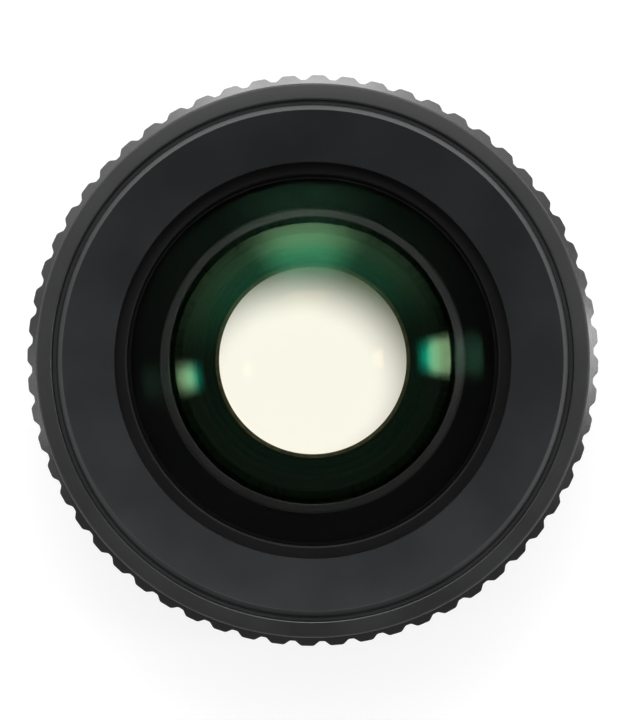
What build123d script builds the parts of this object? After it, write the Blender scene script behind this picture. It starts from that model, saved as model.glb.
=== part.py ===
from build123d import *
from math import cos, pi, sin, sqrt
import os

# Action camera add-on lens in millimetres. The optical axis is +Z and the front looks up.
# The lens stands on the rear end of its mount thread, which is z = 0.

# Mount thread, M37 x 0.75
THREAD_R = 18.5
THREAD_WALL = 1.9
THREAD_LENGTH = 3.4
THREAD_LEAD = 0.4
FLANGE_W = 2.7
FLANGE_T = 1.8
FLANGE_CHAMFER = 0.3
WEB_T = 1.0
WEB_W = 4.0

# Screws that hold the mount ring to the barrel
SCREW_COUNT = 3
SCREW_R = 0.75
SCREW_LENGTH = 4.0
SCREW_HEAD_W = 0.6
SCREW_HEAD_T = 0.6
SCREW_SLOT = 0.3
SCREW_SLOT_DEPTH = 0.35
SCREW_HOLE_SPARE = 0.4

# Glass, from the rear to the front
REAR_GLASS_EDGE = 2.9
REAR_GLASS_FRONT_R = 60.0
REAR_GLASS_BACK_R = 38.0
REAR_LAND = 1.1
FLINT_EDGE = 3.8
FLINT_BACK_R = 90.0
FLINT_LAND = 2.2
CEMENT_R = 60.0
CEMENT_GAP = 0.01
CROWN_EDGE = 1.25
CROWN_FRONT_R = 45.0
FRONT_GLASS_EDGE = 1.75
FRONT_GLASS_FRONT_R = 60.0
FRONT_GLASS_BACK_R = 80.0
FRONT_LAND = 0.8

# Rings that hold the rear glass and shape the light path behind the doublet
REAR_RING_SETBACK = 0.6
REAR_RING_THREAD_W = 2.6
REAR_RING_LIP = 0.9
REAR_RING_FLARE = 1.2
REAR_RING_T = 1.5
REAR_RING_GAP = 0.2
REAR_SLOT_W = 1.3
REAR_SLOT_DEPTH = 0.7
STOP_WEB_T = 0.6
STOP_WEB_SEAT = 1.0
STOP_LIP = 0.52
STOP_T = 0.15
BAFFLE_SETBACK = 0.32
BAFFLE_FLARE = 2.65
BAFFLE_WALL = 1.55
BAFFLE_LENGTH = 2.45
BAFFLE_STEPS = 4

# Cell of the cemented doublet
CELL_GAP = 0.1
CELL_WALL = 1.05
CELL_LEDGE_T = 1.0
CELL_LEDGE_SETBACK = 0.08
CELL_LEDGE_LIP = 0.27
CELL_RIM = 0.95
CELL_FLANGE_T = 1.2
CELL_FLANGE_W = 2.2
CELL_RING_THREAD_W = 0.55
CELL_RING_LIP = 0.57
CELL_RING_FLANGE_DROP = 0.1
CELL_BEAD_W = 0.71
CELL_BEAD_TOP = 0.32
CELL_BEAD_FALL = 0.2
CELL_BEAD_ROUND = 0.08
SHIM_T = 0.2

# Front of the light path
SPACER_LENGTH = 1.8
SPACER_GAP = 0.11
SPACER_LIP = 0.35
FRONT_RING_THREAD_W = 0.95
FRONT_RING_LIP = 0.43
FRONT_RING_T = 0.8
FRONT_RING_EDGE = 0.15

# Seals round the two outer glasses
SEAL_SECTION_R = 0.4
SEAL_GROOVE_SPARE = 0.06

# Hood cone and bezel
HOOD_DROP = 0.3
HOOD_SETBACK = 1.09
HOOD_SPIGOT_W = 1.45
HOOD_SPIGOT_LENGTH = 1.2
HOOD_BRIM = 3.33
HOOD_HEIGHT = 2.5
HOOD_CHAMFER = 0.5
HOOD_LIP = 0.5
HOOD_DISH = 0.08
BEZEL_BAND = 1.53
BEZEL_LEDGE = 0.53
BEZEL_DROP = 0.3
BEZEL_BACK_LENGTH = 2.1
BEZEL_SLOPE = 0.15
BEZEL_ROUND = 0.35
BEZEL_BACK_CHAMFER = 0.25
BEZEL_EDGE = 0.1
PARTING_W = 0.36
PARTING_DEPTH = 0.6

# Barrel and its scalloped grip
BARREL_REAR_BAND = 1.2
BARREL_FLARE = 3.2
BARREL_LIP = 0.4
GRIP_SHOULDER = 0.6
GRIP_SEAT = 1.2
GRIP_WALL = 2.8
GRIP_GROOVE = 0.3
GRIP_LOBES = 60
GRIP_LOBE_DEPTH = 0.42
GRIP_FLANK_W = 0.52
GRIP_HOLLOW_W = 0.5
GRIP_CREST_ROUND = 0.45
GRIP_HOLLOW_ROUND = 0.35
GRIP_FIRST_LOBE = 88.9
GRIP_BEVEL_W = 0.85
GRIP_BEVEL_T = 0.21

# Clearances: a turned fit, and a ring or a glass dropped into its bore
FIT = 0.03
DROP_IN = 0.05


def sag(curve_r, r):
    return curve_r - sqrt(curve_r**2 - r**2)


# Radii inwards from the thread to the stop, each from its neighbour and a named wall or lip
THREAD_BORE_R = THREAD_R - THREAD_WALL
FLANGE_R = THREAD_R + FLANGE_W
WEB_BORE_R = THREAD_BORE_R - WEB_W
SCREW_PITCH_R = (THREAD_BORE_R + WEB_BORE_R) / 2
SCREW_HEAD_R = SCREW_R + SCREW_HEAD_W
REAR_RING_R = WEB_BORE_R - REAR_RING_SETBACK
REAR_GLASS_R = REAR_RING_R - REAR_RING_THREAD_W
REAR_CLEAR_R = REAR_GLASS_R - REAR_LAND
REAR_RING_BORE_R = REAR_GLASS_R - REAR_RING_LIP
REAR_RING_MOUTH_R = REAR_RING_BORE_R + REAR_RING_FLARE
STOP_WEB_BORE_R = REAR_GLASS_R - STOP_WEB_SEAT
STOP_R = STOP_WEB_BORE_R - STOP_LIP

# Radii outwards from the stop to the bezel and the grip
BAFFLE_BORE_R = STOP_R + BAFFLE_SETBACK
BAFFLE_MOUTH_R = BAFFLE_BORE_R + BAFFLE_FLARE
BAFFLE_R = BAFFLE_MOUTH_R + BAFFLE_WALL
CELL_LEDGE_BORE_R = BAFFLE_MOUTH_R + CELL_LEDGE_SETBACK
FLINT_CLEAR_R = CELL_LEDGE_BORE_R + CELL_LEDGE_LIP
DOUBLET_R = FLINT_CLEAR_R + FLINT_LAND
CELL_RING_BORE_R = DOUBLET_R - CELL_RING_LIP
CELL_RING_R = DOUBLET_R + CELL_RING_THREAD_W
CELL_BEAD_R = CELL_RING_BORE_R + CELL_BEAD_W
CELL_R = CELL_RING_R + CELL_WALL
SPACER_BORE_R = CELL_BEAD_R + SPACER_GAP
FRONT_GLASS_R = CELL_R + CELL_FLANGE_W
FRONT_CLEAR_R = FRONT_GLASS_R - FRONT_LAND
FRONT_BORE_R = FRONT_GLASS_R + DROP_IN
FRONT_RING_BORE_R = FRONT_GLASS_R - FRONT_RING_LIP
FRONT_RING_R = FRONT_GLASS_R + FRONT_RING_THREAD_W
SEAL_GROOVE = 2 * SEAL_SECTION_R + SEAL_GROOVE_SPARE
HOOD_BORE_R = FRONT_RING_BORE_R + HOOD_SETBACK
HOOD_SPIGOT_R = FRONT_RING_R + HOOD_SPIGOT_W
HOOD_R = HOOD_SPIGOT_R + HOOD_BRIM
BEZEL_BORE_R = HOOD_R - BEZEL_LEDGE
BEZEL_R = HOOD_R + PARTING_W + BEZEL_BAND
GRIP_BORE_R = BEZEL_BORE_R + GRIP_SHOULDER
BARREL_R = GRIP_BORE_R + GRIP_SEAT
GRIP_CREST_R = GRIP_BORE_R + GRIP_WALL
GRIP_VALLEY_R = GRIP_CREST_R - GRIP_LOBE_DEPTH
GRIP_BEVEL_R = GRIP_CREST_R - GRIP_BEVEL_W

# Heights of the seats, stacked from the rear
Z_WEB = THREAD_LENGTH + FLANGE_T - WEB_T
Z_BARREL = THREAD_LENGTH + FLANGE_T
Z_REAR_LAND = Z_BARREL + REAR_RING_T
Z_STOP_WEB = Z_REAR_LAND + REAR_GLASS_EDGE
Z_STOP = Z_STOP_WEB + STOP_WEB_T
Z_BAFFLE = Z_STOP + STOP_T
Z_BAFFLE_TOP = Z_BAFFLE + BAFFLE_LENGTH
Z_CELL = Z_BAFFLE_TOP + CELL_GAP
Z_FLINT = Z_CELL + CELL_LEDGE_T
Z_CEMENT_EDGE = Z_FLINT + FLINT_EDGE
Z_CROWN_EDGE = Z_CEMENT_EDGE + CROWN_EDGE
Z_CROWN = Z_CROWN_EDGE + sag(CROWN_FRONT_R, DOUBLET_R)
Z_CELL_TOP = Z_CROWN_EDGE + CELL_RIM
Z_CELL_SEAT = Z_CELL_TOP - CELL_FLANGE_T
Z_SHIM = Z_CELL_SEAT - SHIM_T
Z_FRONT_LAND = Z_CELL_TOP + SPACER_LENGTH
Z_FRONT_EDGE = Z_FRONT_LAND + FRONT_GLASS_EDGE
Z_FRONT_APEX = Z_FRONT_EDGE + sag(FRONT_GLASS_FRONT_R, FRONT_GLASS_R)
Z_FRONT_RING = Z_FRONT_APEX - sag(FRONT_GLASS_FRONT_R, FRONT_RING_BORE_R)
Z_FRONT_RING_TOP = Z_FRONT_RING + FRONT_RING_T
Z_SPIGOT = Z_FRONT_RING_TOP + HOOD_DROP
Z_BARREL_TOP = Z_SPIGOT + HOOD_SPIGOT_LENGTH
Z_BEZEL = Z_BARREL_TOP - BEZEL_BACK_LENGTH
Z_HOOD_TOP = Z_BARREL_TOP + HOOD_HEIGHT
Z_BEZEL_TOP = Z_HOOD_TOP - BEZEL_DROP
Z_GRIP = Z_BARREL + BARREL_REAR_BAND + BARREL_FLARE + BARREL_LIP
Z_GRIP_TOP = Z_BEZEL - GRIP_GROOVE

def at(r, z):
    """Point of a half section: a radius and a height on the XZ plane."""
    return (r, 0, z)


def turned(points, rounds=()):
    """Body of rotation from a closed outline of (radius, height) points, some corners rounded."""
    section = Sketch() + make_face(Polyline(*[at(r, z) for r, z in points], close=True))
    for (r, z), round_r in rounds:
        corner = section.vertices().sort_by_distance(at(r, z))[0]
        section = fillet(corner, round_r)
    return revolve(section, Axis.Z)


def turned_edges(*edges):
    """Body of rotation from edges that close an outline, in order."""
    return revolve(make_face(Wire(list(edges))), Axis.Z)


def cap(curve_r, z_rim, reach):
    """Half section of a ground surface, its middle above the rim if curve_r > 0, else below."""
    side = 1 if curve_r > 0 else -1
    rise = side * sag(abs(curve_r), reach)
    mid_rise = rise - side * sag(abs(curve_r), reach / 2)
    return ThreePointArc(at(0, z_rim + rise), at(reach / 2, z_rim + mid_rise), at(reach, z_rim))


def glass(r, back, front):
    """Lens of radius r from two (curve, rim height, reach) faces, a flat land outside each reach."""
    corners = [at(front[2], front[1]), at(r, front[1]), at(r, back[1]), at(back[2], back[1])]
    edge = Polyline(*dict.fromkeys(corners))
    top = cap(*front)
    bottom = cap(*back)
    return turned_edges(top, *edge.edges(), bottom, Line(bottom @ 0, top @ 0))


def mount_ring():
    """Male thread tube, shoulder flange and the inner web with its countersunk holes."""
    ring = turned([
        (THREAD_BORE_R, 0), (THREAD_R - THREAD_LEAD, 0), (THREAD_R, THREAD_LEAD),
        (THREAD_R, THREAD_LENGTH), (FLANGE_R - FLANGE_CHAMFER, THREAD_LENGTH),
        (FLANGE_R, THREAD_LENGTH + FLANGE_CHAMFER), (FLANGE_R, Z_BARREL),
        (WEB_BORE_R, Z_BARREL), (WEB_BORE_R, Z_WEB), (THREAD_BORE_R, Z_WEB)])
    bite = turned([
        (0, Z_WEB), (SCREW_HEAD_R + FIT, Z_WEB), (SCREW_R + FIT, Z_WEB + SCREW_HEAD_T),
        (SCREW_R + FIT, Z_BARREL), (0, Z_BARREL)])
    return ring - screw_places() * bite


def screw_places():
    return PolarLocations(SCREW_PITCH_R, SCREW_COUNT, start_angle=90)


def mount_screws():
    """Countersunk screws with a cross recess, heads flush with the web."""
    z_tip = Z_WEB + SCREW_LENGTH
    screw = turned([
        (0, Z_WEB), (SCREW_HEAD_R, Z_WEB), (SCREW_R, Z_WEB + SCREW_HEAD_T),
        (SCREW_R, z_tip - SCREW_R / 2), (SCREW_R / 2, z_tip), (0, z_tip)])
    reach = 1.3 * SCREW_HEAD_R
    for size in ((reach, SCREW_SLOT), (SCREW_SLOT, reach)):
        screw -= Pos(0, 0, Z_WEB) * Box(*size, 2 * SCREW_SLOT_DEPTH)
    return Compound([place * screw for place in screw_places()])


def barrel():
    """One turned body: rear pockets, stop web, cell bore, front bore and the neck for the bezel."""
    z_band = Z_BARREL + BARREL_REAR_BAND
    z_flare = z_band + BARREL_FLARE
    z_seal_rear = Z_REAR_LAND + REAR_GLASS_EDGE / 2
    z_seal_front = Z_FRONT_LAND + FRONT_GLASS_EDGE / 2
    rear_bore = REAR_GLASS_R + DROP_IN
    z_front_thread = Z_FRONT_RING - 2 * DROP_IN
    outside = [
        (FLANGE_R, Z_BARREL), (FLANGE_R, z_band), (BARREL_R, z_flare), (BARREL_R, Z_GRIP),
        (GRIP_BORE_R, Z_GRIP), (GRIP_BORE_R, Z_BEZEL), (BEZEL_BORE_R - FIT, Z_BEZEL),
        (BEZEL_BORE_R - FIT, Z_BARREL_TOP)]
    inside = [
        (HOOD_SPIGOT_R + FIT, Z_BARREL_TOP), (HOOD_SPIGOT_R + FIT, Z_SPIGOT),
        (FRONT_RING_R + FIT, Z_SPIGOT), (FRONT_RING_R + FIT, z_front_thread),
        (FRONT_BORE_R, z_front_thread),
        *groove(FRONT_BORE_R, z_seal_front),
        (FRONT_BORE_R, Z_SHIM), (CELL_R + FIT, Z_SHIM), (CELL_R + FIT, Z_CELL - CELL_GAP),
        (BAFFLE_R + FIT, Z_CELL - CELL_GAP), (BAFFLE_R + FIT, Z_STOP),
        (STOP_WEB_BORE_R, Z_STOP), (STOP_WEB_BORE_R, Z_STOP_WEB), (rear_bore, Z_STOP_WEB),
        *groove(rear_bore, z_seal_rear),
        (rear_bore, Z_REAR_LAND + REAR_RING_GAP), (REAR_RING_R + FIT, Z_REAR_LAND + REAR_RING_GAP),
        (REAR_RING_R + FIT, Z_BARREL)]
    depth = SCREW_LENGTH - WEB_T + SCREW_HOLE_SPARE
    hole = Pos(0, 0, Z_BARREL + depth / 2) * Cylinder(SCREW_R + FIT, depth)
    return turned(outside + inside) - screw_places() * hole


def groove(bore_r, z):
    """Corners of a square seal groove cut outwards from a bore, met from above."""
    return [
        (bore_r, z + SEAL_GROOVE / 2), (bore_r + SEAL_GROOVE, z + SEAL_GROOVE / 2),
        (bore_r + SEAL_GROOVE, z - SEAL_GROOVE / 2), (bore_r, z - SEAL_GROOVE / 2)]


def seal(glass_r, z):
    """Round rubber ring that hugs a glass edge inside its groove."""
    ring_r = glass_r + SEAL_SECTION_R + FIT
    section = Plane.XZ * Pos(ring_r, z) * Circle(SEAL_SECTION_R)
    return revolve(section, Axis.Z)


def rear_glass():
    """Negative glass at the camera's side, hollow on both faces."""
    return glass(
        REAR_GLASS_R,
        back=(REAR_GLASS_BACK_R, Z_REAR_LAND, REAR_CLEAR_R),
        front=(-REAR_GLASS_FRONT_R, Z_STOP_WEB, REAR_CLEAR_R))


def rear_retaining_ring():
    """Threaded ring behind the rear glass, with two spanner slots."""
    ring = turned([
        (REAR_RING_BORE_R, Z_REAR_LAND), (REAR_RING_MOUTH_R, Z_BARREL),
        (REAR_RING_R, Z_BARREL), (REAR_RING_R, Z_REAR_LAND)])
    return ring - Pos(0, 0, Z_BARREL) * Box(3 * REAR_RING_R, REAR_SLOT_W, 2 * REAR_SLOT_DEPTH)


def stop_disc():
    """Thin disc whose opening is the aperture stop."""
    return turned([
        (STOP_R, Z_STOP), (BAFFLE_R, Z_STOP), (BAFFLE_R, Z_BAFFLE), (STOP_R, Z_BAFFLE)])


def light_baffle():
    """Ring with a stepped throat between the doublet and the stop, which traps stray light."""
    rise = BAFFLE_LENGTH / BAFFLE_STEPS
    step = (BAFFLE_MOUTH_R - BAFFLE_BORE_R) / BAFFLE_STEPS
    throat = []
    for i in range(BAFFLE_STEPS):
        throat += [
            (BAFFLE_BORE_R + i * step, Z_BAFFLE + i * rise),
            (BAFFLE_BORE_R + (i + 0.5) * step, Z_BAFFLE + (i + 1) * rise)]
    throat[-1] = (BAFFLE_MOUTH_R, Z_BAFFLE_TOP)
    return turned(throat + [(BAFFLE_R, Z_BAFFLE_TOP), (BAFFLE_R, Z_BAFFLE)])


def lens_cell():
    """Flanged cell that holds the cemented pair against its rear ledge."""
    thread_r = CELL_RING_R + FIT
    z_thread = Z_CROWN_EDGE - CROWN_EDGE / 4
    return turned([
        (CELL_LEDGE_BORE_R, Z_CELL), (CELL_R, Z_CELL), (CELL_R, Z_CELL_SEAT),
        (FRONT_GLASS_R, Z_CELL_SEAT), (FRONT_GLASS_R, Z_CELL_TOP), (thread_r, Z_CELL_TOP),
        (thread_r, z_thread), (DOUBLET_R + DROP_IN, z_thread), (DOUBLET_R + DROP_IN, Z_FLINT),
        (CELL_LEDGE_BORE_R, Z_FLINT)])


def focus_shim():
    """Thin ring under the cell flange that sets the spacing at assembly."""
    return turned([
        (CELL_R + DROP_IN, Z_SHIM), (FRONT_GLASS_R, Z_SHIM),
        (FRONT_GLASS_R, Z_CELL_SEAT), (CELL_R + DROP_IN, Z_CELL_SEAT)])


def flint_glass():
    """Rear half of the cemented pair, hollow on both faces."""
    return glass(
        DOUBLET_R,
        back=(FLINT_BACK_R, Z_FLINT, FLINT_CLEAR_R),
        front=(-CEMENT_R, Z_CEMENT_EDGE - CEMENT_GAP, DOUBLET_R))


def crown_glass():
    """Front half of the cemented pair, domed on both faces."""
    return glass(
        DOUBLET_R,
        back=(-CEMENT_R, Z_CEMENT_EDGE, DOUBLET_R),
        front=(CROWN_FRONT_R, Z_CROWN_EDGE, DOUBLET_R))


def cell_retaining_ring():
    """Threaded ring that clamps the pair, its front face falling outwards to the flange."""
    z_under = Z_CROWN - sag(CROWN_FRONT_R, CELL_RING_BORE_R)
    z_flange = Z_CELL_TOP - CELL_RING_FLANGE_DROP
    z_bead = Z_CELL_TOP + CELL_BEAD_TOP
    z_bead_rim = z_bead - CELL_BEAD_FALL
    return turned(
        [(CELL_RING_BORE_R, z_under), (CELL_RING_R, z_under), (CELL_RING_R, z_flange),
         (CELL_BEAD_R, z_flange), (CELL_BEAD_R, z_bead_rim), (CELL_RING_BORE_R, z_bead)],
        rounds=[
            ((CELL_BEAD_R, z_bead_rim), CELL_BEAD_ROUND),
            ((CELL_RING_BORE_R, z_bead), CELL_BEAD_ROUND)])


def front_spacer():
    """Conical ring between the cell flange and the front glass."""
    return turned([
        (SPACER_BORE_R, Z_CELL_TOP), (FRONT_GLASS_R, Z_CELL_TOP), (FRONT_GLASS_R, Z_FRONT_LAND),
        (FRONT_CLEAR_R, Z_FRONT_LAND), (SPACER_BORE_R, Z_CELL_TOP + SPACER_LIP)])


def front_glass():
    """Large front glass, domed towards the scene."""
    return glass(
        FRONT_GLASS_R,
        back=(FRONT_GLASS_BACK_R, Z_FRONT_LAND, FRONT_CLEAR_R),
        front=(FRONT_GLASS_FRONT_R, Z_FRONT_EDGE, FRONT_GLASS_R))


def front_retaining_ring():
    """Thin threaded ring that bears on the rim of the front glass."""
    return turned([
        (FRONT_RING_BORE_R, Z_FRONT_RING), (FRONT_RING_R, Z_FRONT_RING),
        (FRONT_RING_R, Z_FRONT_RING_TOP), (FRONT_RING_BORE_R + FRONT_RING_EDGE, Z_FRONT_RING_TOP),
        (FRONT_RING_BORE_R, Z_FRONT_RING_TOP - FRONT_RING_EDGE)])


def hood_cone():
    """Dished front cone with a 45 degree outer edge and a spigot in the barrel's mouth."""
    rim = at(HOOD_R - HOOD_CHAMFER, Z_HOOD_TOP)
    throat = at(HOOD_BORE_R, Z_BARREL_TOP + HOOD_LIP)
    wall = Polyline(
        throat, at(HOOD_BORE_R, Z_SPIGOT), at(HOOD_SPIGOT_R, Z_SPIGOT),
        at(HOOD_SPIGOT_R, Z_BARREL_TOP), at(HOOD_R, Z_BARREL_TOP),
        at(HOOD_R, Z_HOOD_TOP - HOOD_CHAMFER), rim)
    across = Vector(rim) - Vector(throat)
    dip = Vector(across.Z, 0, -across.X).normalized() * HOOD_DISH
    dish = ThreePointArc(rim, (Vector(rim) + Vector(throat)) / 2 + dip, throat)
    return turned_edges(*wall.edges(), dish)


def front_bezel():
    """Outer front band, gently sloped, with the parting groove round the hood cone."""
    groove_r = HOOD_R + PARTING_W
    z_outer = Z_BEZEL_TOP - BEZEL_SLOPE
    z_groove = Z_BEZEL_TOP - PARTING_DEPTH
    return turned(
        [(BEZEL_BORE_R, Z_BEZEL), (BEZEL_R - BEZEL_BACK_CHAMFER, Z_BEZEL),
         (BEZEL_R, Z_BEZEL + BEZEL_BACK_CHAMFER), (BEZEL_R, z_outer),
         (groove_r + BEZEL_EDGE, Z_BEZEL_TOP), (groove_r, Z_BEZEL_TOP - BEZEL_EDGE),
         (groove_r, z_groove), (HOOD_R + FIT, z_groove), (HOOD_R + FIT, Z_BARREL_TOP),
         (BEZEL_BORE_R, Z_BARREL_TOP)],
        rounds=[((BEZEL_R, z_outer), BEZEL_ROUND)])


def lobed_outline():
    """Grip seen along the axis: flat lobes with rounded shoulders, parted by shallow hollows."""
    half = pi / GRIP_LOBES
    hollow = GRIP_HOLLOW_W / 2 / GRIP_VALLEY_R
    shoulder = half - hollow - GRIP_FLANK_W / GRIP_CREST_R
    middle_r = GRIP_VALLEY_R * cos(hollow)
    corners = [
        (middle_r, -half), (GRIP_VALLEY_R, hollow - half), (GRIP_CREST_R, -shoulder),
        (GRIP_CREST_R, shoulder), (GRIP_VALLEY_R, half - hollow), (middle_r, half)]
    rounds = [GRIP_HOLLOW_ROUND, GRIP_CREST_ROUND, GRIP_CREST_ROUND, GRIP_HOLLOW_ROUND]
    lobe = FilletPolyline(*[(r * cos(turn), r * sin(turn)) for r, turn in corners], radius=rounds)
    turns = [GRIP_FIRST_LOBE + i * 360 / GRIP_LOBES for i in range(GRIP_LOBES)]
    return make_face(Wire([edge for turn in turns for edge in (Rot(0, 0, turn) * lobe).edges()]))


def grip_ring():
    """Scalloped sleeve on the barrel, its lobes bevelled at both ends."""
    lobes = Pos(0, 0, Z_GRIP) * extrude(lobed_outline(), Z_GRIP_TOP - Z_GRIP, dir=(0, 0, 1))
    sleeve = turned([
        (GRIP_BORE_R + FIT, Z_GRIP), (GRIP_BEVEL_R, Z_GRIP),
        (GRIP_CREST_R, Z_GRIP + GRIP_BEVEL_T), (GRIP_CREST_R, Z_GRIP_TOP - GRIP_BEVEL_T),
        (GRIP_BEVEL_R, Z_GRIP_TOP), (GRIP_BORE_R + FIT, Z_GRIP_TOP)])
    return lobes & sleeve


PARTS = {
    "mount_ring": mount_ring(),
    "mount_screws": mount_screws(),
    "barrel": barrel(),
    "grip_ring": grip_ring(),
    "rear_retaining_ring": rear_retaining_ring(),
    "rear_seal": seal(REAR_GLASS_R, Z_REAR_LAND + REAR_GLASS_EDGE / 2),
    "rear_glass": rear_glass(),
    "stop_disc": stop_disc(),
    "light_baffle": light_baffle(),
    "lens_cell": lens_cell(),
    "focus_shim": focus_shim(),
    "flint_glass": flint_glass(),
    "crown_glass": crown_glass(),
    "cell_retaining_ring": cell_retaining_ring(),
    "front_spacer": front_spacer(),
    "front_glass": front_glass(),
    "front_seal": seal(FRONT_GLASS_R, Z_FRONT_LAND + FRONT_GLASS_EDGE / 2),
    "front_retaining_ring": front_retaining_ring(),
    "hood_cone": hood_cone(),
    "front_bezel": front_bezel(),
}

os.makedirs("parts", exist_ok=True)
for name, shape in PARTS.items():
    export_step(shape, f"parts/{name}.step")
print("height", round(Z_HOOD_TOP, 3), "front apex", round(Z_FRONT_APEX, 3))
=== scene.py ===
# %% [markdown]
# # Action camera add-on lens
#
# A round lens that screws in front of an action camera, seen from straight above while it stands on its
# rear thread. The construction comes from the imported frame: this script gives every piece its finish,
# remakes the glasses and the threaded ring as finer meshes, and sets up the floor, the studio and the
# camera. All lengths are in metres, and the optical axis is +Z with the front glass up.

# %% Load the frame
from math import asin, atan, ceil, copysign, cos, hypot, pi, radians, sin, sqrt, tan

import bmesh
import bpy
from mathutils import Matrix, Vector


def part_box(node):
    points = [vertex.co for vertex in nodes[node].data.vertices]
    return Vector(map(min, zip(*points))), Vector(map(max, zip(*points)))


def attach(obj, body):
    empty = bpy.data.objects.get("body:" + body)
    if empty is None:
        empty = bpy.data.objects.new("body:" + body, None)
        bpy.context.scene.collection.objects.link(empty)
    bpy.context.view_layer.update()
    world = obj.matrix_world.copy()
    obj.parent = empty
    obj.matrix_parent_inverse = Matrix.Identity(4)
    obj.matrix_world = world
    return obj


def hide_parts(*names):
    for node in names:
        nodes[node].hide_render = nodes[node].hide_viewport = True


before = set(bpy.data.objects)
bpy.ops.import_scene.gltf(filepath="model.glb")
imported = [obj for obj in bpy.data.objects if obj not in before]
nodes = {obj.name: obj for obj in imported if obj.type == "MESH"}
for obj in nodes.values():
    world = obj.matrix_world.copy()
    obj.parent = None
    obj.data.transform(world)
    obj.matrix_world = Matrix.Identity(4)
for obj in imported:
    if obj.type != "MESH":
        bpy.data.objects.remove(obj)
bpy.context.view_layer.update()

MM = 0.001

# %% [markdown]
# ## Turning a section round the axis
#
# Nearly every piece of a lens is turned on a lathe. So a piece starts as half a section in the XZ plane,
# drawn from one vertex by extruding it from corner to corner, and is then spun once round Z. A ground
# glass surface is an arc, which is a vertex spun round the centre of its curve. The alternative, a
# cylinder with loops scaled by hand, gives the same shape with far more steps.

# %% Helpers for turned pieces
AXIS = Vector((0, 0, 0))
UP = Vector((0, 0, 1))
ACROSS = Vector((0, 1, 0))
TURN_STEPS = 192
CREASE_DEGREES = 30
MERGE = 0.2e-6


def top_of(node):
    """Height of the node's highest point."""
    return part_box(node)[1].z


def foot_of(node):
    """Height of the node's lowest point."""
    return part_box(node)[0].z


def reach_of(node):
    """Outer radius of a round node."""
    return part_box(node)[1].x


def sag(curve, r):
    """How far a spherical surface falls from its middle to radius r, negative where it rises."""
    return curve - copysign(sqrt(curve * curve - r * r), curve)


def draw_to(bm, vert, r, z):
    """Extrude the section's last vertex to a new corner and give that one back."""
    new = bmesh.ops.extrude_vert_indiv(bm, verts=[vert])["verts"][0]
    new.co = Vector((r, 0, z))
    return new


def draw_arc(bm, vert, centre, angle, steps):
    """Spin the section's last vertex round a point of the XZ plane."""
    spun = bmesh.ops.spin(
        bm, geom=[vert], cent=Vector((centre[0], 0, centre[1])), axis=ACROSS, dvec=AXIS,
        angle=angle, steps=steps, use_merge=False, use_normal_flip=False, use_duplicate=False)
    return [g for g in spun["geom_last"] if isinstance(g, bmesh.types.BMVert)][0]


def lathe(bm, steps=TURN_STEPS):
    """Spin the section once round Z, close the seam and the poles, and face it outwards."""
    bmesh.ops.spin(
        bm, geom=bm.verts[:] + bm.edges[:], cent=AXIS, axis=UP, dvec=AXIS, angle=2 * pi,
        steps=steps, use_merge=True, use_normal_flip=False, use_duplicate=False)
    bmesh.ops.remove_doubles(bm, verts=bm.verts[:], dist=MERGE)
    bmesh.ops.recalc_face_normals(bm, faces=bm.faces[:])


def to_object(bm, name):
    """Turn a bmesh into an object of the scene."""
    mesh = bpy.data.meshes.new(name)
    bm.to_mesh(mesh)
    bm.free()
    made = bpy.data.objects.new(name, mesh)
    bpy.context.scene.collection.objects.link(made)
    return made


def to_piece(bm, name, replaced, materials):
    """Turn a bmesh into a piece of the lens that stands for a CAD node."""
    piece = to_object(bm, name)
    for material in materials:
        piece.data.materials.append(material)
    piece.data.shade_smooth()
    piece.data.set_sharp_from_angle(angle=radians(CREASE_DEGREES))
    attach(piece, "root")
    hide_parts(replaced)
    print(name, len(piece.data.polygons), "faces")
    return piece


# %% [markdown]
# ## Helpers for finishes
#
# Every finish is a Principled shader fed by noise on Object coordinates, which are metres from the
# optical axis. Round parts need one more coordinate, the distance from the axis: noise on that alone
# gives the fine rings that a lathe tool leaves.

# %% Node helpers
def new_finish(name):
    """An empty material with its output, as (material, tree, output node)."""
    material = bpy.data.materials.new(name)
    material.use_nodes = True
    tree = material.node_tree
    tree.nodes.clear()
    return material, tree, tree.nodes.new("ShaderNodeOutputMaterial")


def add(tree, kind, **settings):
    """A node with its options and input values set by name."""
    node = tree.nodes.new("ShaderNode" + kind)
    for key, value in settings.items():
        if hasattr(node, key) and key not in node.inputs:
            setattr(node, key, value)
        else:
            node.inputs[key.replace("_", " ")].default_value = value
    return node


def fill(tree, sockets, values):
    """Link or set each socket."""
    for socket, value in zip(sockets, values):
        if isinstance(value, bpy.types.NodeSocket):
            tree.links.new(value, socket)
        else:
            socket.default_value = value


def math(tree, operation, *values):
    """A Math node on sockets or numbers, as its output socket."""
    node = add(tree, "Math", operation=operation)
    fill(tree, node.inputs, values)
    return node.outputs[0]


def vector_math(tree, operation, first, second):
    """A Vector Math node as its vector output: SCALE takes a number second, the others a vector."""
    node = add(tree, "VectorMath", operation=operation)
    number_or_vector = node.inputs["Scale"] if operation == "SCALE" else node.inputs[1]
    fill(tree, (node.inputs[0], number_or_vector), (first, second))
    return node.outputs[0]


def position(tree):
    """Object coordinates as a vector socket."""
    return tree.nodes.new("ShaderNodeTexCoord").outputs["Object"]


def length_of(tree, vector):
    """Length of a vector socket, as a socket."""
    node = add(tree, "VectorMath", operation="LENGTH")
    tree.links.new(vector, node.inputs[0])
    return node.outputs["Value"]


def from_axis(tree):
    """Distance from the optical axis, as a socket."""
    return length_of(tree, vector_math(tree, "MULTIPLY", position(tree), (1, 1, 0)))


def grain(tree, size, detail=3.0):
    """Noise with grains of about this size, as a factor socket."""
    noise = add(tree, "TexNoise", Scale=1 / size, Detail=detail)
    tree.links.new(position(tree), noise.inputs["Vector"])
    return noise.outputs["Fac"]


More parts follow.
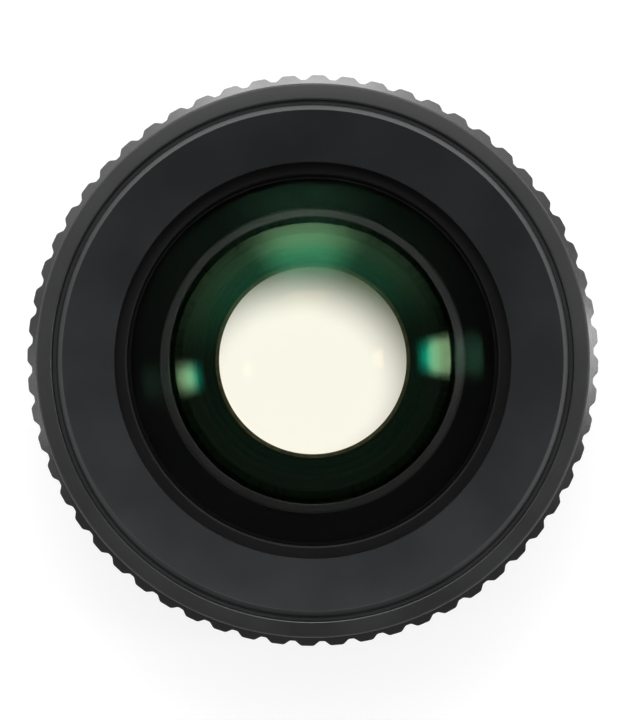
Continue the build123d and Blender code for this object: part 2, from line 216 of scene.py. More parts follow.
def tool_marks(tree, spacing):
    """Noise along the distance from the axis, which draws fine turned rings."""
    noise = add(tree, "TexNoise", noise_dimensions="1D", Scale=1 / spacing, Detail=4.0)
    tree.links.new(from_axis(tree), noise.inputs["W"])
    return noise.outputs["Fac"]


def spread(tree, factor, low, high):
    """Noise stretched to run from low to high, as a socket. Most noise lies between 0.3 and 0.7."""
    node = add(tree, "MapRange", From_Min=0.3, From_Max=0.7, To_Min=low, To_Max=high)
    tree.links.new(factor, node.inputs["Value"])
    return node.outputs["Result"]


def tinted(tree, factor, dark, light):
    """A colour that runs from dark to light with noise, as a socket."""
    ramp = add(tree, "ValToRGB")
    for stop, place, colour in zip(ramp.color_ramp.elements, (0.35, 0.65), (dark, light)):
        stop.position = place
        stop.color = (*colour, 1)
    tree.links.new(factor, ramp.inputs["Fac"])
    return ramp.outputs["Color"]


def soft_step(tree, value, start, end):
    """0 before start and 1 after end with a smooth rise between, or a fall where end is lower."""
    node = add(tree, "MapRange", interpolation_type="SMOOTHSTEP", From_Min=start, From_Max=end)
    tree.links.new(value, node.inputs["Value"])
    return node.outputs["Result"]


def bumped(tree, height, depth, under=None):
    """A Bump node of real depth in metres, on top of an earlier one, as a normal socket."""
    bump = add(tree, "Bump", Strength=1.0, Distance=depth)
    tree.links.new(height, bump.inputs["Height"])
    if under is not None:
        tree.links.new(under, bump.inputs["Normal"])
    return bump.outputs["Normal"]


def mixed(tree, factor, first, second):
    """The first shader where the factor is 0 and the second where it is 1, as a Mix node."""
    mix = tree.nodes.new("ShaderNodeMixShader")
    fill(tree, mix.inputs, (factor, first.outputs[0], second.outputs[0]))
    return mix


# %% [markdown]
# ## Black anodised aluminium
#
# Anodised parts are dull black with a soft sheen. The colour is a little uneven, the sheen changes over
# a few millimetres, and a fine grain is left by the blasting before the dye. Turned faces also show
# rings. One function makes all the black metal finishes, and its arguments say what sets them apart. The
# hood is nearly matt, and only its chamfered outer edge is smooth enough to draw a line of light.

# %% Black metal finishes
PATCH_SIZE, PATCH_CONTRAST, PATCH_ROUGHNESS = 6 * MM, 0.15, 0.04
BLAST_GRAIN, LEAST_BLAST = 0.12 * MM, 0.1e-6
RING_SPACING = 0.16 * MM
EDGE_GLOSS, EDGE_SHEEN_CUT, EDGE_BLEND = 0.3, 0.5, 0.1 * MM


def black_metal(name, shade, sheen, blast=0.0, rings=0.0, gloss=0.5, edge_r=None):
    """Dyed aluminium: shade, roughness, depth of grain and rings, and where a smoother edge begins."""
    material, tree, output = new_finish(name)
    shader = add(tree, "BsdfPrincipled", IOR=1.5, Specular_IOR_Level=gloss)
    patches = grain(tree, PATCH_SIZE, detail=2.0)
    dark = [(1 - PATCH_CONTRAST) * c for c in shade]
    light = [(1 + PATCH_CONTRAST) * c for c in shade]
    tree.links.new(tinted(tree, patches, dark, light), shader.inputs["Base Color"])
    rough = spread(tree, patches, sheen - PATCH_ROUGHNESS, sheen + PATCH_ROUGHNESS)
    if edge_r:
        on_edge = soft_step(tree, from_axis(tree), edge_r - EDGE_BLEND, edge_r)
        rough = math(tree, "MULTIPLY_ADD", on_edge, -EDGE_SHEEN_CUT * sheen, rough)
        level = math(tree, "MULTIPLY_ADD", on_edge, EDGE_GLOSS - gloss, gloss)
        tree.links.new(level, shader.inputs["Specular IOR Level"])
    tree.links.new(rough, shader.inputs["Roughness"])
    normal = bumped(tree, grain(tree, BLAST_GRAIN), max(blast, LEAST_BLAST))
    if rings:
        normal = bumped(tree, tool_marks(tree, RING_SPACING), rings, under=normal)
    tree.links.new(normal, shader.inputs["Normal"])
    tree.links.new(shader.outputs[0], output.inputs["Surface"])
    print("finish", name)
    return material


HOOD_CHAMFER = 0.5 * MM
HOOD_FINISH = black_metal(
    "hood_satin", (0.018, 0.019, 0.020), 0.66, blast=3e-6, rings=1.2e-6, gloss=0.08,
    edge_r=reach_of("hood_cone") - HOOD_CHAMFER)
BEZEL_SHADE = (0.019, 0.0195, 0.0205)
BEZEL_FINISH = black_metal("bezel_satin", BEZEL_SHADE, 0.42, blast=3e-6, rings=1.2e-6, gloss=0.32)
EDGE_FINISH = black_metal("bezel_edge", BEZEL_SHADE, 0.24, rings=0.6e-6)
GRIP_FINISH = black_metal("grip_satin", (0.008, 0.008, 0.0085), 0.21, blast=3e-6, gloss=1.0)
BARREL_FINISH = black_metal("barrel_satin", (0.016, 0.016, 0.018), 0.38, blast=3e-6, rings=1.2e-6)
RING_FINISH = black_metal("ring_satin_black", (0.004, 0.004, 0.0042), 0.40, rings=2e-6, gloss=0.12)
BEAD_FINISH = black_metal("bead_satin_black", (0.003, 0.003, 0.003), 0.52, rings=1e-6, gloss=0.55)
BAFFLE_FINISH = black_metal("baffle_matt", (0.0024, 0.0024, 0.0024), 0.70, blast=8e-6, gloss=0.04)
THREAD_FINISH = black_metal("thread_satin", (0.018, 0.018, 0.020), 0.40, blast=2e-6)

finish_of = {
    "hood_cone": HOOD_FINISH, "grip_ring": GRIP_FINISH, "barrel": BARREL_FINISH,
    "front_retaining_ring": RING_FINISH, "cell_retaining_ring": BEAD_FINISH,
    "lens_cell": BAFFLE_FINISH, "front_spacer": BAFFLE_FINISH, "light_baffle": BAFFLE_FINISH,
    "rear_retaining_ring": BAFFLE_FINISH}
for node, finish in finish_of.items():
    nodes[node].material_slots[0].material = finish

# %% [markdown]
# ## Small hidden metal and rubber
#
# The stop is a darkened brass disc whose bare edge shows as a thin yellow line. The shim is plain rolled
# steel, the screws are blackened steel, and the seals are smooth rubber.

# %% Brass, steel and rubber
def plain_finish(name, dark, light, roughness, grain_size, depth, metallic=0.0):
    """A finish whose colour changes between two shades over a grain of the given size."""
    material, tree, output = new_finish(name)
    shader = add(tree, "BsdfPrincipled", Roughness=roughness, Metallic=metallic)
    pattern = grain(tree, grain_size)
    tree.links.new(tinted(tree, pattern, dark, light), shader.inputs["Base Color"])
    tree.links.new(bumped(tree, pattern, depth), shader.inputs["Normal"])
    tree.links.new(shader.outputs[0], output.inputs["Surface"])
    print("finish", name)
    return material


BRASS = plain_finish(
    "darkened_brass", (0.030, 0.024, 0.010), (0.07, 0.056, 0.024),
    roughness=0.45, grain_size=0.4 * MM, depth=1e-6, metallic=1.0)
STEEL = plain_finish(
    "rolled_steel", (0.45, 0.45, 0.46), (0.62, 0.62, 0.62),
    roughness=0.30, grain_size=0.3 * MM, depth=1e-6, metallic=1.0)
SCREW = plain_finish(
    "blackened_steel", (0.03, 0.03, 0.032), (0.07, 0.07, 0.07),
    roughness=0.35, grain_size=0.2 * MM, depth=2e-6, metallic=1.0)
RUBBER = plain_finish(
    "seal_rubber", (0.012, 0.012, 0.012), (0.022, 0.022, 0.022),
    roughness=0.55, grain_size=0.3 * MM, depth=3e-6)

finish_of = {
    "stop_disc": BRASS, "focus_shim": STEEL, "mount_screws": SCREW,
    "front_seal": RUBBER, "rear_seal": RUBBER}
for node, finish in finish_of.items():
    nodes[node].material_slots[0].material = finish

# %% [markdown]
# ## Coated glass
#
# A coating changes only the colour and strength of the glass's reflection, so it is the specular tint of
# a clear Principled glass. It isn't the same all over: seen from the front, the crown's coating turns
# from teal in the middle to a lighter green, and weakens at the rim. Its tints are stronger than a real
# coating's, because the renderer limits how bright a lamp can be when it is seen by way of a glass.
#
# Light has to get through to what lies behind the glass, so shadow rays pass it as if it weren't there.
# The ground edges are painted black so that no stray light comes from them. Where the cemented pair
# touches, light bends once and none is reflected: the flint's face bends it and the crown's is clear.

# %% Glass, black paint and cement
CROWN_INDEX = 1.517
FLINT_INDEX = 1.62
BODY_TINT = (0.985, 0.992, 0.965, 1)


def through_to_light(tree, shader, output):
    """Let shadow rays through the glass, and everything else see the shader."""
    path = tree.nodes.new("ShaderNodeLightPath")
    clear = tree.nodes.new("ShaderNodeBsdfTransparent")
    both = mixed(tree, path.outputs["Is Shadow Ray"], shader, clear)
    tree.links.new(both.outputs[0], output.inputs["Surface"])


def coated_glass(name, index, bands):
    """Clear glass whose coating colour follows (radius, colour) bands out from the axis."""
    material, tree, output = new_finish(name)
    shader = add(
        tree, "BsdfPrincipled", Roughness=0.0, IOR=index, Transmission_Weight=1.0, Base_Color=BODY_TINT)
    if len(bands) == 1:
        shader.inputs["Specular Tint"].default_value = (*bands[0][1], 1)
    else:
        outer = bands[-1][0]
        ramp = add(tree, "ValToRGB")
        ramp.color_ramp.interpolation = "EASE"
        stops = ramp.color_ramp.elements
        while len(stops) < len(bands):
            stops.new(0.5)
        for stop, (r, colour) in zip(stops, bands):
            stop.position = r / outer
            stop.color = (*colour, 1)
        tree.links.new(math(tree, "DIVIDE", from_axis(tree), outer), ramp.inputs["Fac"])
        tree.links.new(ramp.outputs["Color"], shader.inputs["Specular Tint"])
    through_to_light(tree, shader, output)
    print("glass", name)
    return material


FRONT_COAT = coated_glass("front_coating", CROWN_INDEX, [(0, (0.010, 0.034, 0.019))])
CROWN_COAT = coated_glass("crown_coating", CROWN_INDEX, [
    (8.0 * MM, (0.12, 0.88, 0.51)),
    (9.6 * MM, (0.18, 0.95, 0.46)),
    (11.0 * MM, (0.40, 1.0, 0.49)),
    (12.0 * MM, (0.32, 0.62, 0.31)),
    (13.4 * MM, (0.24, 0.42, 0.22))])
FLINT_COAT = coated_glass("flint_coating", FLINT_INDEX, [(0, (0.10, 0.20, 0.10))])
REAR_COAT = coated_glass("rear_coating", CROWN_INDEX, [(0, (0.30, 0.22, 0.10))])

cement, cement_tree, cement_output = new_finish("cement_face")
cement_bend = add(cement_tree, "BsdfRefraction", Roughness=0.0, IOR=FLINT_INDEX / CROWN_INDEX)
through_to_light(cement_tree, cement_bend, cement_output)
clear, clear_tree, clear_output = new_finish("joined_face")
clear_tree.links.new(
    clear_tree.nodes.new("ShaderNodeBsdfTransparent").outputs[0], clear_output.inputs["Surface"])
PAINT_SHADES = ((0.004, 0.004, 0.004), (0.007, 0.007, 0.007))
EDGE_PAINT = plain_finish(
    "edge_paint", *PAINT_SHADES, roughness=0.6, grain_size=0.3 * MM, depth=2e-6)
BEVEL_PAINT = plain_finish(
    "bevel_paint", *PAINT_SHADES, roughness=0.35, grain_size=0.3 * MM, depth=1e-6)

# %% [markdown]
# ## The four glasses
#
# A lens element is the space between two spheres. Its half section starts on the axis at the front
# surface, follows that arc to the rim, goes down the ground edge, and comes back along the rear arc.
# The arcs are finer than the CAD mesh, because a coarse mesh shows in what the glass bends. A curve is
# positive where its surface is domed upwards and negative where it is domed downwards.

# %% Domed glasses
ARC_STEPS = 40
POLISHED, PAINTED, JOINED = 0, 1, 2
LAND_HEIGHT = 0.05 * MM
WALL_SLOPE = 0.5


def domed_glass(node, front, back, land=0.0, bevel=(0, 0)):
    """Glass domed at the front, up to its rim or to its (width, drop) bevel. The back ends at the land."""
    r = reach_of(node)
    dome_r = r - bevel[0]
    reach = r - land
    z_front = top_of(node)
    fall_back = sag(back, reach)
    rim_back = foot_of(node) - min(0, fall_back)
    bm = bmesh.new()
    last = bm.verts.new((0, 0, z_front))
    last = draw_arc(bm, last, (0, z_front - front), asin(dome_r / front), ARC_STEPS)
    if bevel[0]:
        last = draw_to(bm, last, r, last.co.z - bevel[1])
    last = draw_to(bm, last, r, rim_back)
    if land:
        last = draw_to(bm, last, reach, rim_back)
    last = draw_arc(bm, last, (0, rim_back + fall_back - back), -asin(reach / back), ARC_STEPS)
    last.co.x = 0
    lathe(bm)
    for face in bm.faces:
        middle = face.calc_center_median()
        out = hypot(middle.x, middle.y)
        on_land = out > reach and middle.z < rim_back + LAND_HEIGHT
        on_wall = abs(face.normal.z) < WALL_SLOPE
        on_bevel = bevel[0] and out > dome_r
        face.material_index = PAINTED if on_land or on_wall or on_bevel else POLISHED
    return bm


def join_side(bm, upper):
    """Mark the polished faces that look up, or down, as the ones the cement joins."""
    for face in bm.faces:
        if face.material_index == POLISHED and (face.normal.z > 0) == upper:
            face.material_index = JOINED
    return bm


FRONT_CURVE, FRONT_BACK_CURVE, FRONT_LAND = 60 * MM, 80 * MM, 0.8 * MM
FRONT_BEVEL = (0.75 * MM, 0.42 * MM)
CROWN_CURVE, CEMENT_CURVE = 45 * MM, -60 * MM

to_piece(
    domed_glass("front_glass", FRONT_CURVE, FRONT_BACK_CURVE, FRONT_LAND, FRONT_BEVEL),
    "front_glass_polished", "front_glass", [FRONT_COAT, BEVEL_PAINT])
to_piece(
    join_side(domed_glass("crown_glass", CROWN_CURVE, CEMENT_CURVE), upper=False),
    "crown_glass_polished", "crown_glass", [CROWN_COAT, EDGE_PAINT, clear])

# %% [markdown]
# The flint and the rear glass are hollow at the front, with a flat land round the rear hollow. The
# flint's front face lies against the cement, and the rear glass has a flat land at the front too.

# %% Hollow glasses
FLINT_BACK_CURVE, FLINT_LAND = 90 * MM, 2.2 * MM
REAR_CURVE, REAR_BACK_CURVE, REAR_LAND = -60 * MM, 38 * MM, 1.1 * MM


def hollow_glass(node, front, back, land, front_land=0.0):
    """Glass hollow on both faces: the front arc ends at its land, the back arc at its own."""
    r = reach_of(node)
    rim_front, rim_back = top_of(node), foot_of(node)
    reach_front, reach_back = r - front_land, r - land
    z_front = rim_front + sag(front, reach_front)
    z_back = rim_back + sag(back, reach_back)
    bm = bmesh.new()
    last = bm.verts.new((0, 0, z_front))
    last = draw_arc(bm, last, (0, z_front - front), asin(reach_front / front), ARC_STEPS)
    if front_land:
        last = draw_to(bm, last, r, rim_front)
    last = draw_to(bm, last, r, rim_back)
    last = draw_to(bm, last, reach_back, rim_back)
    last = draw_arc(bm, last, (0, z_back - back), -asin(reach_back / back), ARC_STEPS)
    last.co.x = 0
    lathe(bm)
    for face in bm.faces:
        middle = face.calc_center_median()
        reach = reach_front if face.normal.z > 0 else reach_back
        face.material_index = PAINTED if hypot(middle.x, middle.y) > reach else POLISHED
    return bm


to_piece(
    join_side(hollow_glass("flint_glass", CEMENT_CURVE, FLINT_BACK_CURVE, FLINT_LAND), upper=True),
    "flint_glass_polished", "flint_glass", [FLINT_COAT, EDGE_PAINT, cement])
to_piece(
    hollow_glass("rear_glass", REAR_CURVE, REAR_BACK_CURVE, REAR_LAND, front_land=REAR_LAND),
    "rear_glass_polished", "rear_glass", [REAR_COAT, EDGE_PAINT])

# %% [markdown]
# ## The threaded mount ring
#
# The mount thread is 37 mm across with a pitch of 0.75 mm. A thread is one tooth swept along a helix, and
# bmesh has that ready: spin takes a step of height with each step of angle. The tooth is one pitch high,
# so each turn ends where the next begins. The helix starts below the ring and ends above its shoulder, is
# cut flat at both ends, and is then bridged to the turned rest of the ring. The alternative, a bump
# texture, would leave a smooth outline at the very place where the thread is seen.

# %% Thread helix
PITCH = 0.75 * MM
THREAD_DEPTH = 0.42 * MM
THREAD_STEPS = 144
SPARE_TURNS_BELOW, SPARE_TURNS = 2, 4
SHOULDER = 3.4 * MM
LEAD = 0.4 * MM
THREAD_R = 18.5 * MM
BORE_R = 16.6 * MM
WEB_BORE_R = 12.6 * MM
WEB = 1.0 * MM
SHOULDER_CHAMFER = 0.3 * MM
SAME_VERT, ON_PLANE, SAME_HEIGHT = 1e-6, 1e-9, 1e-7
root_r = THREAD_R - THREAD_DEPTH
root, flank, crest = PITCH / 4, PITCH * 5 / 16, PITCH / 8

bm = bmesh.new()
last = bm.verts.new((root_r, 0, -SPARE_TURNS_BELOW * PITCH))
for r, climb in ((root_r, root), (THREAD_R, flank), (THREAD_R, crest), (root_r, flank)):
    last = draw_to(bm, last, r, last.co.z + climb)
turns = ceil(SHOULDER / PITCH) + SPARE_TURNS
bmesh.ops.spin(
    bm, geom=bm.verts[:] + bm.edges[:], cent=AXIS, axis=UP, dvec=UP * PITCH / THREAD_STEPS,
    angle=2 * pi * turns, steps=turns * THREAD_STEPS, use_merge=False, use_normal_flip=False,
    use_duplicate=False)
bmesh.ops.remove_doubles(bm, verts=bm.verts[:], dist=SAME_VERT)
for z, side in ((0, -1), (SHOULDER, 1)):
    bmesh.ops.bisect_plane(
        bm, geom=bm.verts[:] + bm.edges[:] + bm.faces[:], dist=ON_PLANE, plane_co=(0, 0, z),
        plane_no=(0, 0, side), clear_outer=True, clear_inner=False)
for vert in bm.verts:
    most = THREAD_R - max(0, LEAD - vert.co.z)
    r = hypot(vert.co.x, vert.co.y)
    if r > most:
        vert.co.x, vert.co.y = vert.co.x * most / r, vert.co.y * most / r
print("thread", turns, "turns,", len(bm.faces), "faces")

# %% Rest of the ring
flange_r = reach_of("mount_ring")
z_top = top_of("mount_ring")
last = bm.verts.new((flange_r - SHOULDER_CHAMFER, 0, SHOULDER))
section = [last]
for r, z in (
        (flange_r, SHOULDER + SHOULDER_CHAMFER), (flange_r, z_top), (WEB_BORE_R, z_top),
        (WEB_BORE_R, z_top - WEB), (BORE_R, z_top - WEB), (BORE_R, 0)):
    last = draw_to(bm, last, r, z)
    section.append(last)
section_edges = list({edge for vert in section for edge in vert.link_edges})
bmesh.ops.spin(
    bm, geom=section + section_edges, cent=AXIS, axis=UP, dvec=AXIS, angle=2 * pi,
    steps=THREAD_STEPS, use_merge=True, use_normal_flip=False, use_duplicate=False)
bmesh.ops.remove_doubles(bm, verts=bm.verts[:], dist=MERGE)
for z in (0, SHOULDER):
    open_edges = [
        edge for edge in bm.edges
        if edge.is_boundary and all(abs(vert.co.z - z) < SAME_HEIGHT for vert in edge.verts)]
    bmesh.ops.bridge_loops(bm, edges=open_edges)
bmesh.ops.recalc_face_normals(bm, faces=bm.faces[:])
print("open edges left", sum(edge.is_boundary for edge in bm.edges))
mount_ring = to_piece(
    bm, "mount_ring_threaded", "mount_ring", [THREAD_FINISH])

# %% [markdown]
# Three countersunk screws hold the ring to the barrel through its web. Their holes are cut by a Boolean
# modifier with turned cutters, because the web's long faces have no edges where the holes are.

# %% Screw holes in the web
SCREWS = 3
CUTTER_STEPS = 48
SCREW_R, HEAD_R, HEAD_T = 0.78 * MM, 1.38 * MM, 0.6 * MM
SCREW_PITCH_R = (BORE_R + WEB_BORE_R) / 2
CUT_SPARE = 0.2 * MM
z_web = z_top - WEB
cutters = bmesh.new()
last = cutters.verts.new((0, 0, z_web - CUT_SPARE))
for r, z in (
        (HEAD_R, z_web - CUT_SPARE), (HEAD_R, z_web), (SCREW_R, z_web + HEAD_T),
        (SCREW_R, z_top + CUT_SPARE), (0, z_top + CUT_SPARE)):
    last = draw_to(cutters, last, r, z)
lathe(cutters, steps=CUTTER_STEPS)
first = cutters.verts[:] + cutters.edges[:] + cutters.faces[:]
bmesh.ops.translate(cutters, verts=cutters.verts[:], vec=(0, SCREW_PITCH_R, 0))
for turn in range(1, SCREWS):
    copy = bmesh.ops.duplicate(cutters, geom=first)["geom"]
    bmesh.ops.rotate(
        cutters, verts=[g for g in copy if isinstance(g, bmesh.types.BMVert)], cent=AXIS,
        matrix=Matrix.Rotation(turn * 2 * pi / SCREWS, 3, "Z"))
cutter = to_object(cutters, "cutters")
holes = mount_ring.modifiers.new("holes", "BOOLEAN")
holes.object = cutter
graph = bpy.context.evaluated_depsgraph_get()
cut_mesh = bpy.data.meshes.new_from_object(mount_ring.evaluated_get(graph))
mount_ring.modifiers.clear()
mount_ring.data = cut_mesh
bpy.data.objects.remove(cutter)
print("ring with holes", len(cut_mesh.polygons), "faces")

# %% [markdown]
# ## The front band
#
# The band round the hood has a small rounded edge on its inner side. At the bottom of the picture, where
# that edge faces the large lamp, it draws a thin bright line. A flat chamfer would miss the lamp, so the
# band is turned again with true arcs, and the inner one has a smoother finish, as a cutter's last pass
# leaves it.

# %% Band with rounded edges
BAND_ROUND, BAND_INNER_ROUND = 0.35 * MM, 0.2 * MM
BAND_BACK_CHAMFER = 0.25 * MM
BAND_SLOPE = 0.15 * MM
GROOVE_W, GROOVE_DEPTH, GROOVE_BREAK = 0.36 * MM, 0.6 * MM, 0.1 * MM
BAND_LEDGE = 0.53 * MM
BAND_FIT = 0.03 * MM
ROUND_STEPS = 10

band_r, hood_r = reach_of("front_bezel"), reach_of("hood_cone")
foot, top, seat = foot_of("front_bezel"), top_of("front_bezel"), top_of("barrel")
groove_r = hood_r + GROOVE_W
fall = atan(BAND_SLOPE / (band_r - groove_r - GROOVE_BREAK))


def under_slope(r, radius):
    """Height of the centre of a round of this radius that touches the band's sloped face at r."""
    return top - BAND_SLOPE + (band_r - r) * tan(fall) - radius / cos(fall)


bm = bmesh.new()
first = last = bm.verts.new((hood_r - BAND_LEDGE, 0, foot))
outer = (band_r - BAND_ROUND, under_slope(band_r - BAND_ROUND, BAND_ROUND))
inner = (groove_r + BAND_INNER_ROUND, under_slope(groove_r + BAND_INNER_ROUND, BAND_INNER_ROUND))
for r, z in (
        (band_r - BAND_BACK_CHAMFER, foot), (band_r, foot + BAND_BACK_CHAMFER), (band_r, outer[1])):
    last = draw_to(bm, last, r, z)
last = draw_arc(bm, last, outer, fall - pi / 2, ROUND_STEPS)
last = draw_to(
    bm, last, inner[0] + BAND_INNER_ROUND * sin(fall), inner[1] + BAND_INNER_ROUND * cos(fall))
last = draw_arc(bm, last, inner, -fall - pi / 2, ROUND_STEPS)
for r, z in (
        (groove_r, top - GROOVE_DEPTH), (hood_r + BAND_FIT, top - GROOVE_DEPTH),
        (hood_r + BAND_FIT, seat), (hood_r - BAND_LEDGE, seat)):
    last = draw_to(bm, last, r, z)
bm.edges.new((last, first))
lathe(bm)
for face in bm.faces:
    middle = face.calc_center_median()
    out = hypot(middle.x, middle.y)
    face.material_index = int(groove_r < out < inner[0] and middle.z > inner[1])
to_piece(bm, "front_bezel_rounded", "front_bezel", [BEZEL_FINISH, EDGE_FINISH])

# %% [markdown]
# ## Floor
#
# The floor is a large pale disc. Seen by the camera it is mostly its own light, so that it stays white to
# the picture's edge, and part of it is lit, so that the lens keeps its soft shadow. To other rays it is a
# plain pale surface. What shows through the glass is a glow with a painted pool of light, which fades to
# painted shade towards the top, in place of light that falls in at a slant under the lens.

# %% Pale floor
FLOOR_R, FLOOR_STEPS = 4.0, 64
FLOOR_GLOW = 0.74
FLOOR_LIT = (0.36, 0.36, 0.36, 1)
FLOOR_PAINT = (0.80, 0.80, 0.79, 1)
THROUGH_GLOW = 1.03
# Painted light seen through the glass: the white of a pool of light under the lens and the painted shade
# round it.
PAINTED_POOL_WHITE = (1.0, 0.985, 0.90, 1)
PAINTED_SHADE_UNDER_LENS = (0.07, 0.075, 0.045, 1)
PAINTED_POOL_MIDDLE = (-1.4 * MM, -2.4 * MM, 0)
PAINTED_POOL_SQUASH = (1, 1.15, 0)
PAINTED_POOL_R, PAINTED_POOL_EDGE_R = 7.0 * MM, 13.6 * MM

material, tree, output = new_finish("pale_floor")
path = tree.nodes.new("ShaderNodeLightPath")
glow = add(tree, "Emission", Strength=FLOOR_GLOW)
lit = add(tree, "BsdfDiffuse", Color=FLOOR_LIT)
seen = tree.nodes.new("ShaderNodeAddShader")
tree.links.new(glow.outputs[0], seen.inputs[0])
tree.links.new(lit.outputs[0], seen.inputs[1])
paint = add(tree, "BsdfDiffuse", Color=FLOOR_PAINT)
# The floor's glow seen through the glass is painted by position: a pool of light centred a little below
# the axis, fading to painted shade, soonest towards the top.
off_middle = vector_math(tree, "SUBTRACT", position(tree), PAINTED_POOL_MIDDLE)
reach = length_of(tree, vector_math(tree, "MULTIPLY", off_middle, PAINTED_POOL_SQUASH))
painted_pool = add(tree, "Mix", data_type="RGBA")
tree.links.new(soft_step(tree, reach, PAINTED_POOL_R, PAINTED_POOL_EDGE_R), painted_pool.inputs["Factor"])
painted_pool.inputs["A"].default_value = PAINTED_POOL_WHITE
painted_pool.inputs["B"].default_value = PAINTED_SHADE_UNDER_LENS
through = add(tree, "Emission", Strength=THROUGH_GLOW)
tree.links.new(painted_pool.outputs["Result"], through.inputs["Color"])
to_others = mixed(tree, path.outputs["Is Transmission Ray"], paint, through)
surface = mixed(tree, path.outputs["Is Camera Ray"], to_others, seen)
tree.links.new(surface.outputs[0], output.inputs["Surface"])

bm = bmesh.new()
bmesh.ops.create_circle(bm, cap_ends=True, segments=FLOOR_STEPS, radius=FLOOR_R)
floor = to_object(bm, "floor")
floor.data.materials.append(material)

# %% [markdown]
# ## Studio
#
# The picture's reflections say where its lamps are: a large soft one towards the top edge, narrow ones
# left and right, and little from below. Area lamps would do, but the coated glass mirrors each lamp's
# outline, and these have soft edges. So the studio is painted on the World: each window is a soft patch
# at an azimuth, clockwise from the picture's top, and a span of angles from straight up.
#
# What comes back through the front glass gets a smaller share of this light, which keeps the reflections
# inside as dim as the picture's. The two side highlights have coloured inner edges in there, as stacked
# coatings give them, so fringe windows are added for those rays alone.

# %% Soft windows on the World
OVERHEAD_DIM, LOW_DIM = 0.20, 0.50
DIM_FROM, DIM_TO = 38, 48
GLASS_SHARE = 0.48
WHITE = (1, 1, 1)
# Name, azimuth, half width, its softness, from, its softness, to, its softness, strength, colour.
WINDOWS = (
    ("key", -3.5, 18.0, 26, 19, 12, 33, 9, 9.0, WHITE),
    ("top glow", -8, 60, 50, 12, 12, 36, 8, 1.6, WHITE),
    ("right strip", 88, 5, 13, 25.2, 2.4, 31.4, 1.6, 25.0, WHITE),
    ("left strip", 262, 4, 12, 26.0, 2.0, 31.6, 1.6, 11.0, WHITE),
    ("top horizon", 0, 50, 60, 74, 8, 92, 4, 8.0, WHITE),
    ("right horizon", 90, 40, 60, 74, 8, 92, 4, 4.5, WHITE),
    ("left horizon", 270, 40, 60, 74, 8, 92, 4, 2.4, WHITE),
)
FRINGES = (
    ("right strip, inner fringe", 88, 5, 13, 23.0, 3.0, 25.8, 2.4, 9.0, (0.0, 0.8, 1.0)),
    ("right strip, middle", 88, 5, 13, 24.9, 2.8, 31.2, 1.8, 13.0, (1.0, 0.66, 0.78)),
    ("left strip, inner fringe", 262, 4, 12, 24.0, 2.4, 26.2, 2.0, 5.0, (0.0, 0.8, 1.0)),
    ("left strip, middle", 262, 4, 12, 25.2, 2.4, 28.4, 2.2, 10.0, (1.0, 0.74, 0.84)),
)

world = bpy.data.worlds.new("studio")
bpy.context.scene.world = world
world.use_nodes = True
tree = world.node_tree
tree.nodes.clear()
direction = tree.nodes.new("ShaderNodeSeparateXYZ")
tree.links.new(tree.nodes.new("ShaderNodeTexCoord").outputs["Generated"], direction.inputs[0])
azimuth = math(tree, "ARCTAN2", direction.outputs["X"], direction.outputs["Y"])
tilt = math(tree, "ARCCOSINE", direction.outputs["Z"])


def window(tree, middle, half, soft, near, near_soft, far, far_soft, strength, colour):
    """Light of one soft window, as a colour socket. Angles are in degrees."""
    off = math(tree, "SUBTRACT", azimuth, radians(middle))
    apart = math(tree, "ARCCOSINE", math(tree, "COSINE", off))
    across = soft_step(tree, apart, radians(half + soft / 2), radians(half - soft / 2))
    above = soft_step(tree, tilt, radians(near - near_soft / 2), radians(near + near_soft / 2))
    below = soft_step(tree, tilt, radians(far + far_soft / 2), radians(far - far_soft / 2))
    shape = math(tree, "MULTIPLY", across, math(tree, "MULTIPLY", above, below))
    return vector_math(tree, "SCALE", [strength * c for c in colour], shape)


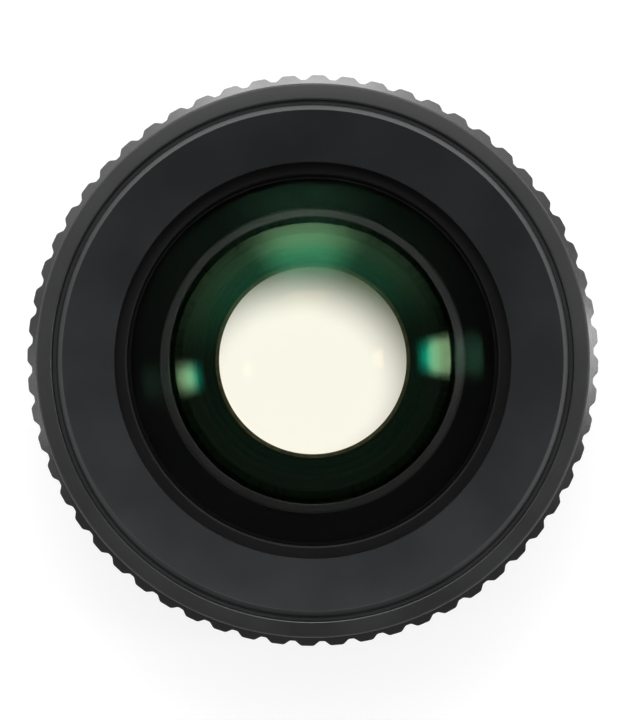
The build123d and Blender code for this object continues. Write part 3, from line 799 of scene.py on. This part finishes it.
low = soft_step(tree, tilt, radians(DIM_FROM), radians(DIM_TO))
room = math(tree, "MULTIPLY_ADD", low, LOW_DIM - OVERHEAD_DIM, OVERHEAD_DIM)
light = vector_math(tree, "SCALE", WHITE, room)
for name, *numbers in WINDOWS:
    light = vector_math(tree, "ADD", light, window(tree, *numbers))
path = tree.nodes.new("ShaderNodeLightPath")
in_glass = path.outputs["Is Transmission Ray"]
share = math(tree, "MULTIPLY_ADD", in_glass, GLASS_SHARE - 1, 1.0)
light = vector_math(tree, "SCALE", light, share)
for name, *numbers in FRINGES:
    fringe = vector_math(tree, "SCALE", window(tree, *numbers), in_glass)
    light = vector_math(tree, "ADD", light, fringe)
studio = tree.nodes.new("ShaderNodeBackground")
tree.links.new(light, studio.inputs["Color"])
backdrop = add(tree, "Background", Color=(*WHITE, 1))
shown = mixed(tree, path.outputs["Is Camera Ray"], studio, backdrop)
output = tree.nodes.new("ShaderNodeOutputWorld")
tree.links.new(shown.outputs[0], output.inputs["Surface"])
print("windows", len(WINDOWS), "fringes", len(FRINGES))

# %% [markdown]
# ## Camera
#
# The picture looks straight down the optical axis. How much smaller the deeper rings look says that the
# camera is about 450 mm above the hood. Its focal length then follows from the bezel, whose outer edge
# has a known radius and a measured size in the picture.

# %% Camera over the lens
PICTURE_HEIGHT_PX = 720
PICTURE_WIDTH_PX = 626
PICTURE_RIM_PX = 277.5
PICTURE_CENTRE_PX = (312.8, 360.5)
CAMERA_RISE = 450 * MM
RIM_DROP = 0.45 * MM
SENSOR_MM = 36
CLIP_FROM, CLIP_TO = 0.01, 20

camera_data = bpy.data.cameras.new("camera")
camera = bpy.data.objects.new("camera", camera_data)
bpy.context.scene.collection.objects.link(camera)
bpy.context.scene.camera = camera
camera.location = (0, 0, top_of("hood_cone") + CAMERA_RISE)
rim_distance = CAMERA_RISE + RIM_DROP
camera_data.sensor_fit = "VERTICAL"
camera_data.sensor_height = SENSOR_MM
focal_px = PICTURE_RIM_PX * rim_distance / reach_of("front_bezel")
camera_data.lens = focal_px * SENSOR_MM / PICTURE_HEIGHT_PX
camera_data.shift_x = (PICTURE_WIDTH_PX / 2 - PICTURE_CENTRE_PX[0]) / PICTURE_HEIGHT_PX
camera_data.shift_y = (PICTURE_CENTRE_PX[1] - PICTURE_HEIGHT_PX / 2) / PICTURE_HEIGHT_PX
camera_data.clip_start = CLIP_FROM
camera_data.clip_end = CLIP_TO
print("lens", round(camera_data.lens, 1), "mm")

bpy.context.scene.view_settings.view_transform = "Standard"
